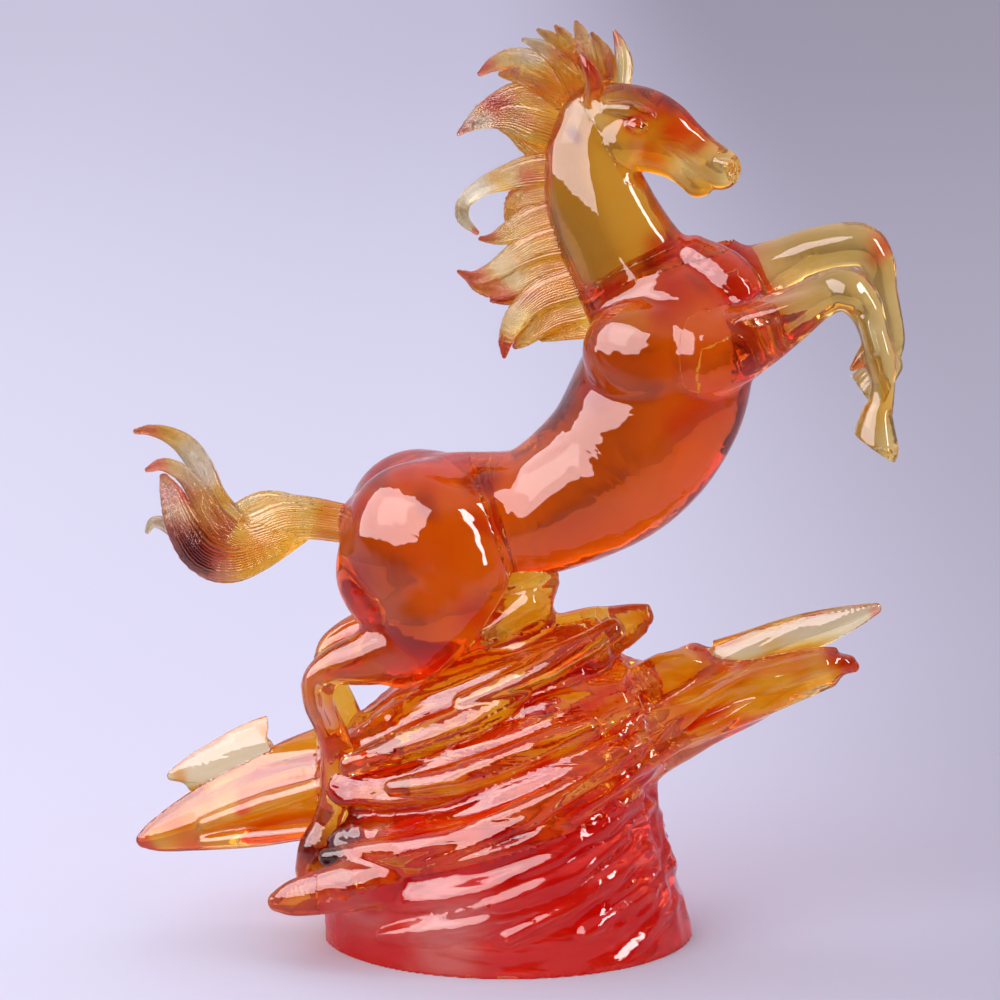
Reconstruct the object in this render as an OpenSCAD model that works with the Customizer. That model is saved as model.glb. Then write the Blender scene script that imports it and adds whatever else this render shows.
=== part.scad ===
// Rearing horse figurine in coloured crystal glass.
// Cast pieces are ground flat where they meet and bonded edge to edge.
// Origin: centre of the flat underside. +X is where the horse faces, +Z is up,
// -Y is the horse's right side. Every station is [x, y, z, radius].

/* [Figurine] */
// Overall height, underside to the tip of the crown of the mane
figurine_h = 295; // [150:5:600]
// Facets round each cast form
facets = 16; // [14:2:18]

/* [Pedestal] */
// Width of the pedestal's footprint along X
pedestal_w = 120; // [110:1:130]
// Depth of the pedestal's footprint along Y
pedestal_d = 96; // [88:1:104]

/* [Horse] */
// Half of the gap between the centre lines of the right and left legs
leg_y = 13; // [11:1:15]
// Thickness of the barrel across Y, as a share of its height
barrel_depth = 0.9; // [0.8:0.05:1]
// Thickness of the neck across Y, as a share of its height
neck_depth = 0.75; // [0.65:0.05:0.9]
// Thickness of the mane's locks across Y, as a share of their height
mane_depth = 1.1; // [0.8:0.05:1.3]

/* [Hidden] */

// The stations below are for this height, and the whole figurine scales from it
drawn_h = 295;
size = figurine_h / drawn_h;

clear = "lemonchiffon";
amber = "goldenrod";
orange = "orangered";
red = "crimson";

// One rounded lump of glass, thinner or thicker across Y by depth
module lump(s, depth = 1)
    translate([s[0], s[1], s[2]])
        scale([1, depth, 1]) sphere(r = s[3], $fn = facets);

// A run of lumps, each blended into the next
module run(stations, depth = 1)
    for (i = [0 : len(stations) - 2])
        hull() {
            lump(stations[i], depth);
            lump(stations[i + 1], depth);
        }

// Everything on the left of the line from p to q in the XZ plane: a ground face
module ground_side(p, q)
    translate([p[0], 0, p[1]])
        rotate([0, -atan2(q[1] - p[1], q[0] - p[0]), 0])
            translate([-drawn_h, -drawn_h, 0]) cube(2 * drawn_h);

// The faces along which the castings are ground and bonded, as XZ lines
neck_seat = [[20, 210], [62, 222]];
poll_seat = [[36, 246], [18, 278]];
loin_seat = [[-13, 160], [0, 122]];
dock_seat = [[-51, 120], [-53, 150]];
gaskin_seat = [[-26, 84], [-47, 108]];
rock_seat = [[-60, 22], [44, 52]];
crest_seat = [[-60, 64], [40, 86]];

// ---- Horse: cast forms before grinding ----

module trunk_form() {
    run([[50, 0, 194, 26], [44, 0, 172, 27], [34, 0, 155, 25.5], [10, 0, 140, 21],
         [-14, 0, 137, 21]], barrel_depth);
    run([[44, -9, 198, 21], [50, -8, 186, 20]]);
    run([[46, 9, 200, 20], [58, 9, 205, 15]]);
}

module haunch_form() {
    run([[-10, 0, 138, 20], [-22, 0, 134, 23.5], [-41, 0, 134, 12.5]]);
    for (side = [-1, 1])
        run([[-27, side * 7, 129, 22], [-27, side * 11, 110, 17.5], [-28, side * 12, 99, 13]]);
}

module neck_form()
    run([[46, 0, 205, 24], [35, 0, 221, 18.5], [26, 0, 237, 16], [25, 0, 252, 14],
         [28, 0, 264, 12]], neck_depth);

module head_form() {
    run([[27, 0, 267, 9.5], [37, 0, 261, 14], [50, 0, 256, 9.5], [62, 0, 250, 7],
         [67, 0, 247, 5.5]], 0.8);
    run([[60, 0, 247, 6], [60, 0, 242, 3.5]]);
}

module right_foreleg_form() {
    run([[62, -11, 196, 16], [84, -leg_y, 203, 10], [102, -leg_y, 211, 8.5],
         [108, -leg_y, 206, 7.5], [114, -leg_y, 190, 5.5], [117, -leg_y, 180, 5.5],
         [115, -leg_y, 174, 4.5]]);
    hull() {
        lump([115, -leg_y, 173, 5]);
        lump([117, -leg_y, 164, 5]);
        lump([110, -leg_y, 166, 4]);
    }
}

module left_foreleg_form() {
    run([[62, 11, 205, 14], [84, leg_y, 210, 10], [104, leg_y, 219, 8.5],
         [112, leg_y, 218, 7.5], [118, leg_y, 204, 6.5], [122, leg_y, 190, 5.5],
         [118, leg_y, 182, 4.5]]);
    hull() {
        lump([118, leg_y, 181, 5]);
        lump([118, leg_y, 171, 5]);
        lump([112, leg_y, 173, 4]);
    }
}

module hind_leg_form(side)
    run([[-26, side * 12, 100, 14], [-42, side * leg_y, 94, 9], [-57, side * leg_y, 83, 6.5],
         [-54, side * leg_y, 66, 6], [-52, side * leg_y, 48, 6.5], [-54, side * leg_y, 40, 6],
         [-56, side * leg_y, 30, 7.5]]);

module mane_crown_form()
    run([[22, 0, 278, 8], [15, 0, 289, 6], [4, 0, 285, 5.5], [-8, 0, 281, 1.5]], mane_depth);

module mane_upper_form() {
    run([[20, 0, 268, 7], [10, 0, 265, 9], [-4, 0, 265, 6], [-15, 0, 261, 1.8]], mane_depth);
    run([[10, 0, 265, 9], [9, 0, 255, 6]], mane_depth);
}

module mane_curl_form() {
    run([[13, 0, 240, 8], [4, 0, 248, 6.5], [-7, 0, 245, 4], [-14, 0, 240, 2.8],
         [-14, 0, 233, 2.2], [-8, 0, 229, 2]], mane_depth);
    run([[4, 0, 244, 6], [3, 0, 230, 6], [-8, 0, 227, 1.8]], mane_depth);
}

module mane_lower_form() {
    run([[14, 0, 230, 8], [8, 0, 218, 8], [-4, 0, 212, 5], [-15, 0, 214, 2]], mane_depth);
    run([[8, 0, 218, 8], [0, 0, 208, 4]], mane_depth);
}

module mane_base_form()
    run([[16, 0, 214, 7], [12, 0, 203, 8], [4, 0, 198, 5], [-1, 0, 189, 2]], mane_depth);

// ---- Horse: the bonded pieces ----

module barrel() color(orange)
    difference() {
        trunk_form();
        ground_side(neck_seat[0], neck_seat[1]);
        ground_side(loin_seat[1], loin_seat[0]);
    }

module hindquarters() color(orange)
    difference() {
        haunch_form();
        ground_side(loin_seat[0], loin_seat[1]);
        ground_side(dock_seat[0], dock_seat[1]);
        ground_side(gaskin_seat[0], gaskin_seat[1]);
    }

module neck() color(amber)
    difference() {
        neck_form();
        ground_side(neck_seat[1], neck_seat[0]);
        ground_side(poll_seat[1], poll_seat[0]);
    }

module head() color(amber)
    difference() {
        head_form();
        ground_side(poll_seat[0], poll_seat[1]);
    }

module right_ear() color(clear)
    difference() {
        run([[27, -7, 274, 3], [24, -9, 281, 3], [22, -9, 287, 1]], 0.7);
        head_form();
        neck_form();
    }

module left_ear() color(clear)
    difference() {
        run([[33, 6, 275, 3], [35, 7, 282, 2.6], [33, 7, 291, 1]], 0.7);
        head_form();
    }

module forelock() color(amber)
    difference() {
        run([[24, 0, 277, 5], [29, -2, 284, 4], [31, -3, 290, 1.5]]);
        head_form();
        neck_form();
    }

module mane_crown() color(amber)
    difference() {
        mane_crown_form();
        head_form();
        neck_form();
        right_ear();
        forelock();
    }

module mane_upper() color(amber)
    difference() {
        mane_upper_form();
        neck_form();
        mane_crown_form();
    }

module mane_curl() color(amber)
    difference() {
        mane_curl_form();
        neck_form();
        mane_upper_form();
    }

module mane_lower() color(amber)
    difference() {
        mane_lower_form();
        neck_form();
        mane_curl_form();
    }

module mane_base() color(amber)
    difference() {
        mane_base_form();
        neck_form();
        trunk_form();
        mane_lower_form();
    }

module tail() color(amber)
    difference() {
        run([[-46, 0, 136, 7], [-62, 0, 138, 7.5], [-75, 0, 134, 10], [-88, 0, 128, 12],
             [-98, 0, 132, 11], [-103, 0, 144, 9], [-107, 0, 155, 7], [-111, 0, 163, 4],
             [-118, 0, 165, 1.5]], 0.9);
        ground_side(dock_seat[1], dock_seat[0]);
    }

module right_foreleg() color(clear)
    difference() {
        right_foreleg_form();
        trunk_form();
    }

module left_foreleg() color(clear)
    difference() {
        left_foreleg_form();
        trunk_form();
    }

module right_hind_leg() color(amber)
    difference() {
        hind_leg_form(-1);
        ground_side(gaskin_seat[1], gaskin_seat[0]);
    }

module left_hind_leg() color(amber)
    difference() {
        hind_leg_form(1);
        ground_side(gaskin_seat[1], gaskin_seat[0]);
    }

// ---- Split rock ----

module rock_form() {
    hull() {
        for (y = [-22, 22]) {
            lump([-50, y, 36, 12]);
            lump([30, y, 66, 18]);
        }
        lump([-50, 0, 52, 12]);
        lump([34, 0, 76, 14]);
    }
}

module crest_form()
    hull() {
        lump([-44, 0, 68, 12]);
        lump([-20, -10, 78, 12]);
        lump([-20, 10, 78, 12]);
        lump([24, 0, 90, 12]);
    }

module pedestal() color(red)
    difference() {
        hull() {
            scale([1, pedestal_d / pedestal_w, 1]) cylinder(h = 3, d = pedestal_w, $fn = 48);
            for (y = [-24, 24]) {
                lump([-44, y, 22, 12]);
                lump([34, y, 46, 12]);
            }
        }
        ground_side(rock_seat[0], rock_seat[1]);
    }

module front_spike() color(red)
    difference() {
        run([[-44, -27, 24, 10], [-62, -30, 20, 5.5], [-75, -31, 17, 1.8]]);
        pedestal();
        rock_form();
    }

module rock_body() color(orange)
    difference() {
        rock_form();
        ground_side(rock_seat[1], rock_seat[0]);
        ground_side(crest_seat[0], crest_seat[1]);
        right_hind_leg();
        left_hind_leg();
    }

module rock_crest() color(amber)
    difference() {
        crest_form();
        ground_side(crest_seat[1], crest_seat[0]);
        haunch_form();
        right_hind_leg();
        left_hind_leg();
    }

module upper_spike() color(orange)
    difference() {
        run([[27, 0, 98, 9], [36, 0, 100, 7], [42, 0, 104, 5]]);
        crest_form();
    }

module belly_post() color(amber)
    difference() {
        run([[6, 0, 102, 9.5], [6, 0, 121, 10.5]]);
        crest_form();
        trunk_form();
        haunch_form();
    }

module left_wing() color(clear)
    difference() {
        run([[-56, 4, 48, 16], [-80, 4, 43, 12.5], [-100, 4, 36, 8], [-112, 4, 32, 5],
             [-118, 4, 30.5, 3]]);
        rock_form();
        left_hind_leg();
        right_hind_leg();
    }

module left_wing_fin() color(clear)
    difference() {
        run([[-103, 7, 51, 3], [-90, 7, 56, 6], [-78, 7, 61, 6]]);
        left_wing();
    }

module right_wing() color(clear)
    difference() {
        run([[40, 0, 66, 17], [62, 0, 76, 13], [84, 0, 86, 10], [104, 0, 91, 5],
             [110, 0, 89, 2.5]]);
        rock_form();
        crest_form();
    }

module right_wing_fin() color(clear)
    difference() {
        run([[70, 6, 87, 6.5], [95, 6, 95, 6.5], [112, 6, 102, 4], [117, 6, 105, 1.8]]);
        right_wing();
    }

scale(size) pedestal();
scale(size) front_spike();
scale(size) rock_body();
scale(size) rock_crest();
scale(size) upper_spike();
scale(size) belly_post();
scale(size) left_wing();
scale(size) left_wing_fin();
scale(size) right_wing();
scale(size) right_wing_fin();
scale(size) barrel();
scale(size) hindquarters();
scale(size) neck();
scale(size) head();
scale(size) right_ear();
scale(size) left_ear();
scale(size) forelock();
scale(size) mane_crown();
scale(size) mane_upper();
scale(size) mane_curl();
scale(size) mane_lower();
scale(size) mane_base();
scale(size) tail();
scale(size) right_foreleg();
scale(size) left_foreleg();
scale(size) right_hind_leg();
scale(size) left_hind_leg();
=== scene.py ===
import math

import bpy
import numpy as np
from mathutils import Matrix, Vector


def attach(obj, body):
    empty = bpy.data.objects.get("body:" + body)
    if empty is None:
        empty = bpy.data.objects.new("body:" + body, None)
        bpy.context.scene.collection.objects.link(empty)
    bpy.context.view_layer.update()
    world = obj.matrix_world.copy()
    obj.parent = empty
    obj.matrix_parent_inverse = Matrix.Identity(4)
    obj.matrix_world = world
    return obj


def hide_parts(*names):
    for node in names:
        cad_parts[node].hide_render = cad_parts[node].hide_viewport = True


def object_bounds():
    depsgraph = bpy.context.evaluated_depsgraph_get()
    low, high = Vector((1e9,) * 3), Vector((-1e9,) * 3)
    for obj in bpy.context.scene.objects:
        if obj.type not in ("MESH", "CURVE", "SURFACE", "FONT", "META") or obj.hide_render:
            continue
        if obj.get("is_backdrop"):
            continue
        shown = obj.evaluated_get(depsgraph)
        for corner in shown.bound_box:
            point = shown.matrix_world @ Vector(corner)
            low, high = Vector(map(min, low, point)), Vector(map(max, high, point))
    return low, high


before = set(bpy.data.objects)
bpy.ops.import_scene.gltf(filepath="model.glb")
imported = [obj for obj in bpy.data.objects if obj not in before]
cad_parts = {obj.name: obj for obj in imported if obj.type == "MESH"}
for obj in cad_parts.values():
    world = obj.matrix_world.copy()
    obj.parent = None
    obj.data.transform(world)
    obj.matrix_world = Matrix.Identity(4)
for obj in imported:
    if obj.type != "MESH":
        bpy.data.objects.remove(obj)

import openvdb
from mathutils import Vector

cad_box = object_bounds()
mm = 0.001
scene = bpy.context.scene
scene.view_settings.view_transform = "Standard"
scene.cycles.max_bounces = 32
scene.cycles.transmission_bounces = 32
scene.cycles.transparent_max_bounces = 48
scene.cycles.glossy_bounces = 12

# ---- Camera ----
# A long lens a little above the rock, square on to the horse's right side.
aim = Vector((-2.5, 0.0, 143.0)) * mm
camera_rise = math.radians(12)
camera_distance = 1.2
camera_data = bpy.data.cameras.new("camera")
camera_data.lens = 136.3
camera_data.clip_end = 100
camera = bpy.data.objects.new("camera", camera_data)
camera.location = aim + camera_distance * Vector((0, -math.cos(camera_rise), math.sin(camera_rise)))
camera.rotation_euler = (aim - camera.location).to_track_quat("-Z", "Y").to_euler()
scene.collection.objects.link(camera)
scene.camera = camera

# ---- Studio ----
# Lavender paper on a big table, its colour painted darker to the right and lighter further back as painted
# shade and light, a hazy bright surround behind it, a dark room on the camera's side, and soft boxes.
floor_reach = 40.0
floor_mesh = bpy.data.meshes.new("floor")
floor_mesh.from_pydata(
    [(-floor_reach, -floor_reach, 0), (floor_reach, -floor_reach, 0),
     (floor_reach, floor_reach, 0), (-floor_reach, floor_reach, 0)], [], [(0, 1, 2, 3)])
floor = bpy.data.objects.new("floor", floor_mesh)
scene.collection.objects.link(floor)
paper = bpy.data.materials.new("lavender_paper")
paper.use_nodes = True
paper_tree = paper.node_tree
paper_look = paper_tree.nodes["Principled BSDF"]
paper_look.inputs["Roughness"].default_value = 0.7
paper_look.inputs["Specular IOR Level"].default_value = 0.0


def add_ramp(tree, source, low, high, stops):
    """A colour ramp over source, which runs from low to high."""
    spread = tree.nodes.new("ShaderNodeMapRange")
    spread.inputs["From Min"].default_value = low
    spread.inputs["From Max"].default_value = high
    tree.links.new(source, spread.inputs["Value"])
    ramp = tree.nodes.new("ShaderNodeValToRGB")
    while len(ramp.color_ramp.elements) < len(stops):
        ramp.color_ramp.elements.new(0.5)
    for stop, (place, colour) in zip(ramp.color_ramp.elements, stops):
        stop.position = place
        stop.color = (*colour, 1)
    ramp.color_ramp.interpolation = "EASE"
    tree.links.new(spread.outputs["Result"], ramp.inputs["Fac"])
    return ramp.outputs["Color"]


def multiply(tree, a, b):
    mix = tree.nodes.new("ShaderNodeMix")
    mix.data_type = "RGBA"
    mix.blend_type = "MULTIPLY"
    mix.inputs[0].default_value = 1
    tree.links.new(a, mix.inputs[6])
    tree.links.new(b, mix.inputs[7])
    return mix.outputs[2]


paper_place = paper_tree.nodes.new("ShaderNodeTexCoord")
paper_axes = paper_tree.nodes.new("ShaderNodeSeparateXYZ")
paper_tree.links.new(paper_place.outputs["Object"], paper_axes.inputs[0])
# Painted shade and light: the paper darkens to the right and lightens further back, standing in for how the
# lamps fall off.
painted_shade_across = add_ramp(paper_tree, paper_axes.outputs["X"], -0.5, 0.5,
                    [(0.0, (0.78, 0.77, 0.92)), (0.45, (0.72, 0.71, 0.86)),
                     (0.78, (0.45, 0.43, 0.52)), (1.0, (0.45, 0.43, 0.51))])
painted_light_back = add_ramp(paper_tree, paper_axes.outputs["Y"], 0.0, 4.0,
                     [(0.0, (0.92, 0.92, 0.92)), (0.25, (0.94, 0.94, 0.93)), (1.0, (1.0, 0.99, 0.97))])
# Towards the camera, beyond what it sees, the paper ends on a dark table.
near_edge = add_ramp(paper_tree, paper_axes.outputs["Y"], -0.42, -0.10,
                     [(0.0, (0.12, 0.11, 0.12)), (1.0, (1, 1, 1))])
painted_floor_light = multiply(paper_tree, painted_shade_across, painted_light_back)
paper_tree.links.new(multiply(paper_tree, painted_floor_light, near_edge), paper_look.inputs["Base Color"])
floor_mesh.materials.append(paper)
floor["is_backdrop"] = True

world = bpy.data.worlds.new("haze")
scene.world = world
world.use_nodes = True
sky = world.node_tree
surround = sky.nodes["Background"]
direction = sky.nodes.new("ShaderNodeTexCoord")
split = sky.nodes.new("ShaderNodeSeparateXYZ")
sky.links.new(direction.outputs["Generated"], split.inputs[0])
across = add_ramp(sky, split.outputs["X"], -1, 1,
                  [(0.0, (1.0, 0.98, 1.12)), (0.40, (0.95, 0.93, 1.08)),
                   (0.60, (0.62, 0.60, 0.71)), (1.0, (0.36, 0.34, 0.44))])
towards = add_ramp(sky, split.outputs["Y"], -1, 1,
                   [(0.0, (0.05, 0.045, 0.05)), (0.35, (0.12, 0.11, 0.12)),
                    (0.60, (1, 1, 1)), (1.0, (1, 1, 1))])
overhead = add_ramp(sky, split.outputs["Z"], -1, 1,
                    [(0.0, (0, 0, 0)), (0.70, (0, 0, 0)), (0.86, (0.66, 0.64, 0.68)),
                     (1.0, (0.72, 0.70, 0.74))])
lighter = sky.nodes.new("ShaderNodeMix")
lighter.data_type = "RGBA"
lighter.blend_type = "ADD"
lighter.inputs[0].default_value = 1
sky.links.new(multiply(sky, across, towards), lighter.inputs[6])
sky.links.new(overhead, lighter.inputs[7])
sky.links.new(lighter.outputs[2], surround.inputs["Color"])
surround.inputs["Strength"].default_value = 0.8


def soft_box(name, place, target, width, height, power, colour=(1, 1, 1), only_gloss=False):
    data = bpy.data.lights.new(name, "AREA")
    data.shape = "RECTANGLE"
    data.size = width
    data.size_y = height
    data.energy = power
    data.color = colour
    box = bpy.data.objects.new(name, data)
    box.location = place
    box.rotation_euler = (Vector(target) - box.location).to_track_quat("-Z", "Y").to_euler()
    box.visible_diffuse = not only_gloss
    box.visible_transmission = not only_gloss
    scene.collection.objects.link(box)
    return box


soft_box("window_box", (-0.75, -0.75, 0.85), (0, 0, 0.15), 0.8, 0.8, 6, (1.0, 0.98, 0.98))
soft_box("window_glow", (-0.70, -0.66, 0.70), (0, 0, 0.16), 2.2, 1.2, 78, (1.0, 0.86, 0.88), True)
top_box = soft_box("top_box", (0.0, 0.4, 1.9), (0, 0.2, 0), 2.6, 2.6, 16)
top_box.visible_glossy = False
soft_box("side_glow", (0.9, -0.5, 0.5), (0, 0, 0.15), 0.12, 0.6, 5, (1.0, 0.95, 0.95), True)


# ---- Horse wax ----
# The horse is carved as one wax figure before it is cut into its castings, so
# neighbours meet flush. Each part of it is a rounded form, in millimetres.


def smooth_run(stations, per=5):
    """The stations, [x, y, z, radius], rounded into one curve."""
    s = np.array(stations, float)
    s = np.vstack([2 * s[0] - s[1], s, 2 * s[-1] - s[-2]])
    out = []
    for a, b, c, d in zip(s, s[1:], s[2:], s[3:]):
        for t in np.arange(per) / per:
            out.append(0.5 * (2 * b + (c - a) * t + (2 * a - 5 * b + 4 * c - d) * t**2
                              + (3 * b - a - 3 * c + d) * t**3))
    out.append(s[-2])
    out = np.array(out)
    out[:, 3] = np.maximum(out[:, 3], 0.3)
    return out


far_away = 20.0


def within(form, lo, hi):
    """The form, worked out only inside a box that holds it."""
    lo = np.array(lo, float)
    hi = np.array(hi, float)

    def there(p):
        out = np.full(len(p), far_away)
        inside = ((p > lo) & (p < hi)).all(1)
        if inside.any():
            out[inside] = form(p[inside])
        return out
    return there


def along(p, a, b):
    """How far from a to b each point of p lies, 0 to 1, and its gap from there."""
    ab = b[:3] - a[:3]
    t = np.clip((p - a[:3]) @ ab / (ab @ ab + 1e-9), 0, 1)
    return t, p - (a[:3] + t[:, None] * ab)


def run(p, stations, depth=1.0, per=4, power=2.0):
    """Distance to a tapering run. depth is its thickness across Y by its
    height, and a power under 2 gives it a ridge along each side."""
    path = smooth_run(stations, per)
    reach = path[:, 3:] * np.array([1, max(depth, 0.3), 1]) + 8
    lo = (path[:, :3] - reach).min(0)
    hi = (path[:, :3] + reach).max(0)

    def form(p):
        best = np.full(len(p), far_away)
        for a, b in zip(path, path[1:]):
            t, gap = along(p, a, b)
            gap[:, 1] /= depth
            if power == 2:
                size = np.sqrt((gap**2).sum(1))
            else:
                flat = np.hypot(gap[:, 0], gap[:, 2])
                size = (flat**power + np.abs(gap[:, 1])**power + 1e-6)**(1 / power)
            best = np.minimum(best, size - a[3] - t * (b[3] - a[3]))
        return best
    return within(form, lo, hi)(p)


def blob(p, centre, radii, turn=0.0):
    """Distance to an ellipsoid, turned about Y by turn degrees (nose up)."""
    q = p - np.array(centre, float)
    c, s = math.cos(math.radians(turn)), math.sin(math.radians(turn))
    q = np.stack([q[:, 0] * c + q[:, 2] * s, q[:, 1], q[:, 2] * c - q[:, 0] * s], 1)
    r = np.array(radii, float)
    k0 = np.sqrt(((q / r) ** 2).sum(1)) + 1e-9
    k1 = np.sqrt(((q / r**2) ** 2).sum(1)) + 1e-9
    return k0 * (k0 - 1) / k1


def join(a, b, k):
    """Union of two forms with a fillet of about k."""
    h = np.maximum(k - np.abs(a - b), 0) / k
    return np.minimum(a, b) - h * h * k / 4


def carve(a, b, k):
    """Form a with form b cut out of it, the edge eased by about k."""
    return -join(-a, b, k)


def side_of(p, start, end):
    """Distance to the left of a line in the XZ plane: a ground face."""
    dx, dz = end[0] - start[0], end[1] - start[1]
    return ((p[:, 2] - start[1]) * dx - (p[:, 0] - start[0]) * dz) / math.hypot(dx, dz)


def mirrored(p):
    return np.stack([p[:, 0], -np.abs(p[:, 1]), p[:, 2]], 1)


def trunk(p):
    f = run(p, [(54, 0, 198, 24.5), (47, 0, 175, 27.5), (34, 0, 155, 25.5), (10, 0, 140, 21),
                (-14, 0, 137, 21)], 0.88, 12)
    shoulder = blob(p, (43, -13, 192), (20, 14.5, 17.5), -12)
    f = join(f, shoulder, 1.6)
    f = join(f, blob(p, (50, 13, 200), (22, 13, 19), -10), 2)
    f = join(f, run(p, [(50, -14, 199, 11), (60, -15, 192, 13), (68, -15, 194, 11.5)], 0.9, 6), 1.5)
    f = join(f, blob(p, (63, 12, 207), (14, 11, 14)), 2)
    breast = run(p, [(58, -3, 222, 6), (68, -4, 214, 9), (74, -3, 203, 9), (74, -2, 190, 8)], 1.2, 6)
    f = join(f, breast, 1.5)
    return join(f, run(p, [(66, 10, 222, 5), (76, 10, 214, 6.5), (80, 11, 206, 6)], 1.0, 6), 1.2)


def haunch(p):
    q = mirrored(p)
    f = run(p, [(-8, 0, 138, 19), (-22, 0, 134, 23), (-43, 0, 135, 11)], 0.95, 10)
    f = join(f, blob(q, (-27, -10, 131), (24.5, 19, 26.5), 20), 4)
    thigh = run(q, [(-18, -12, 124, 19), (-24, -13, 112, 17.5), (-28, -13, 101, 13),
                    (-33, -13, 95, 10)], 0.85, 10)
    f = join(f, thigh, 2)
    buttock = run(q, [(-44, -9, 132, 9), (-44, -11, 120, 10), (-38, -12.5, 108, 9)], 0.9, 8)
    return join(f, buttock, 2)


def neck_form(p):
    return run(p, [(48, 0, 203, 22), (37, 0, 220, 18.5), (28.5, 0, 237, 16.5), (25, 0, 252, 13.5),
                (27, 0, 263, 11.5)], 0.66, 10)


def head_form(p):
    q = mirrored(p)
    f = run(p, [(29, 0, 266, 9.6), (40, 0, 263, 11.2), (47, 0, 260.5, 10.2), (53.5, 0, 256.5, 8.2),
                (60, 0, 252, 7), (66, 0, 248.3, 6.6)], 0.66, 8)
    f = join(f, run(q, [(34, -2.5, 257.5, 9.6), (43, -3, 255, 7.2), (52, -1.5, 249.5, 4.6),
                        (58.5, -1, 243.5, 3.6)], 0.62, 8), 1.6)
    f = join(f, blob(q, (34.5, -4.5, 256.5), (9, 4.2, 9)), 1.2)
    f = join(f, run(q, [(44, -5.5, 259.5, 1.5), (52, -5, 256, 1.7), (59, -3.8, 252, 1.4)], 1, 5), 1.5)
    f = join(f, run(q, [(31, -6.2, 268, 2), (37.5, -7, 267.5, 2.6), (43.5, -6.4, 265.5, 1.8)], 0.8, 5), 1.2)
    f = carve(f, blob(q, (39.5, -9.4, 262.4), (4.2, 2.6, 3.0), -15), 0.8)
    f = join(f, blob(q, (39.4, -7.0, 262.3), (2.9, 2.5, 2.1), -15), 0.25)
    f = join(f, run(q, [(35.6, -6.8, 261.6, 0.6), (39.2, -8.4, 264.6, 0.8), (43, -7, 261.8, 0.6)], 1,
                    5), 0.5)
    f = join(f, run(q, [(65, -3.6, 251, 1.4), (69, -4.2, 249.6, 1.9), (70, -3.8, 246.4, 1.3)], 0.9, 5), 0.8)
    f = carve(f, blob(q, (69, -5.4, 248.6), (1.9, 1.6, 1.1), 60), 0.6)
    f = carve(f, run(q, [(71.5, -5.5, 243.6, 0.9), (67, -6, 245.1, 0.9), (60, -6, 245.4, 0.7)], 1, 5), 0.5)
    return join(f, blob(p, (59.5, 0, 242.6), (4.4, 3.4, 3)), 1)


def right_fore(p):
    f = run(p, [(58, -14, 193, 15), (73.5, -13.5, 197, 11.6), (86, -13, 203.5, 8.8), (96.5, -13, 210, 6.8),
                (104.5, -13, 212.5, 7.0), (110.5, -13, 207, 5.7), (113.5, -13, 199, 4.6),
                (115.5, -13, 191, 5.2), (116.8, -13, 182.5, 3.8), (116, -13, 175, 4.2)], 0.85, 8)
    f = join(f, run(p, [(70, -19, 203, 3.4), (84, -18.5, 206.5, 3.8), (97, -17, 211.5, 2.6)], 1, 6), 1.5)
    f = join(f, blob(p, (104.5, -16.5, 211.5), (5, 3.2, 4.4), -30), 1.2)
    f = join(f, run(p, [(111.5, -13, 192, 3.2), (107.2, -13, 187.6, 1.0)], 0.8), 0.8)
    f = join(f, run(p, [(110, -16.5, 204, 1.7), (113, -16.5, 194, 1.9)], 1, 5), 0.8)
    hoof = run(p, [(115.0, -13, 173, 4.8), (114.6, -13, 168, 6.2), (114.8, -13, 162, 7.4)], 0.9, 5)
    hoof = np.maximum(hoof, side_of(p, (119.5, 158.8), (107, 167.5)))
    return join(f, hoof, 0.6)


def left_fore(p):
    f = run(p, [(62, 11, 205, 14), (74, 12.5, 211, 10.6), (86, 13, 216.5, 8.2), (98, 13, 221, 7.4),
                (111, 13, 222.5, 7.2), (116.5, 13, 217, 5.9), (118.5, 13, 208, 4.9), (121, 13, 198.5, 4.3),
                (122, 13, 191.5, 4.1), (120.5, 13, 186, 3.9)], 0.85, 8)
    f = join(f, run(p, [(72, 17.5, 215, 3.2), (90, 17.5, 221, 3.4), (104, 17, 225, 2.6)], 1, 6), 1.5)
    hoof = run(p, [(121, 13, 184, 4.6), (116, 13, 178.5, 6.2), (113, 13, 175, 6.6)], 0.9, 5)
    hoof = np.maximum(hoof, side_of(p, (117, 170), (109, 181)))
    return join(f, hoof, 0.6)


def hind(p, side):
    lift = 0 if side < 0 else 2.5
    y = 13 * side
    f = run(p, [(-31, y, 100 + lift, 13), (-44, y, 95 + lift, 9), (-54.5, y, 92 + lift, 6.2),
                (-60.5, y, 87.5 + lift, 4.6), (-60, y, 80, 4.8), (-57, y, 73, 4.8), (-54.5, y, 65, 5.4),
                (-53.8, y, 56, 6.0), (-54.8, y, 48, 5.6), (-57.5, y, 40, 5.2)], 0.85, 8)
    f = join(f, run(p, [(-61, y - side, 88 + lift, 3.2), (-64.2, y - side, 85.5 + lift, 1.4)], 0.8), 1)
    f = join(f, run(p, [(-58.5, y + 2.4 * side, 74, 1.8), (-56.4, y + 2.8 * side, 60, 1.9),
                        (-57, y + 2.4 * side, 48, 1.5)], 1), 0.9)
    f = join(f, run(p, [(-52, y + 3.4 * side, 93 + lift, 1.8), (-57.5, y + 2.8 * side, 84, 2.2),
                        (-55, y + 3 * side, 74, 1.3)], 1), 1)
    hoof = run(p, [(-58, y, 38, 5.4), (-60.5, y, 32, 6.4), (-61.5, y, 25, 6.6)], 0.9, 5)
    return join(f, hoof, 0.6)


def right_hind(p):
    return hind(p, -1)


def left_hind(p):
    return hind(p - np.array([3.0, 0, 0]), 1)


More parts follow.
